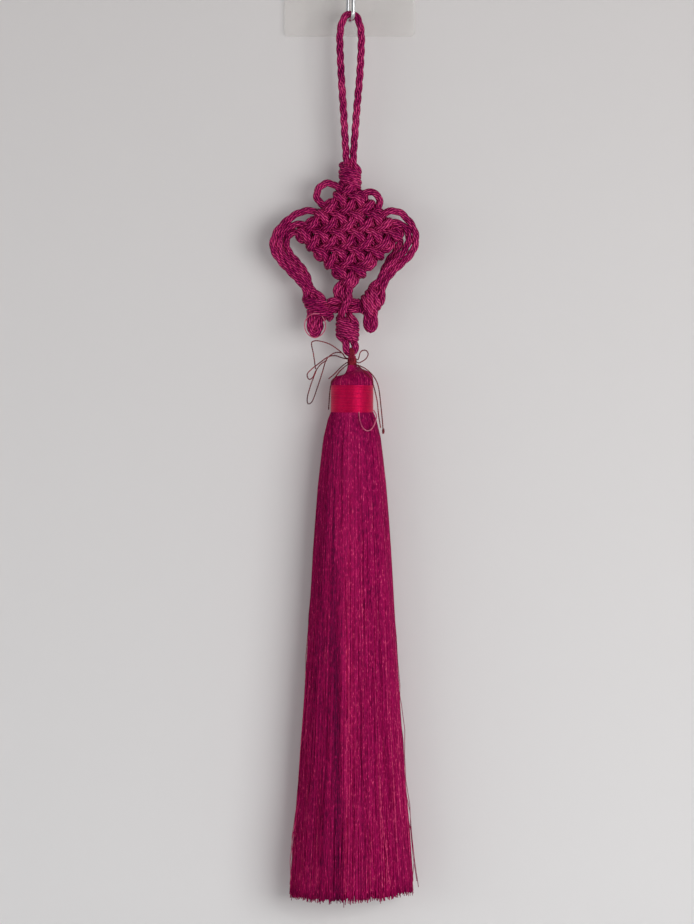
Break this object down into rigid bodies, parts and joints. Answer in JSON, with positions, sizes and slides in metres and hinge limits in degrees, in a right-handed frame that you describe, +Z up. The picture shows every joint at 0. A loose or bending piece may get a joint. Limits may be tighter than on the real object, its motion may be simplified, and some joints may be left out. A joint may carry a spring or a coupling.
{
  "type": "silk tassel on a knotted cord with its stick-on wall hook",
  "caption": "Hanging ornament: a crimson silk tassel under a cord tied into an endless lattice knot, hung by its loop from a clear stick-on wall hook.",
  "frame": {"origin": "centre of the hook pad's back face, which lies on the wall", "axes": "+Z up along the hanging tassel, +Y into the wall, +X to the right as seen from the front"},
  "size_m": [0.068, 0.0295, 0.4566],
  "materials": {
    "clear_plastic": "clear, slightly cloudy plastic sheet",
    "steel": "bright drawn steel",
    "crimson_cord": "three-strand twisted satin cord, crimson",
    "crimson_silk": "loose crimson silk threads with a soft sheen",
    "red_satin": "bright red satin thread, wound flat",
    "maroon_thread": "fine dark red thread"
  },
  "bodies": {
    "root": {"hook_pad": "clear_plastic", "hook_holder": "steel", "hook_wire": "steel", "knotted_cord": "crimson_cord", "tassel": "crimson_silk", "binding_band": "red_satin", "tie_wrap": "maroon_thread", "tie_loop_right": "maroon_thread", "tie_loop_left_short": "maroon_thread", "tie_loop_left_long": "maroon_thread", "tie_thread_upper": "maroon_thread", "tie_end_left_short": "maroon_thread", "tie_end_left_long": "maroon_thread", "tie_end_right_long": "maroon_thread", "tie_end_right_short": "maroon_thread", "tie_front_loop": "maroon_thread", "tail_ring": "maroon_thread"}
  },
  "joints": []
}
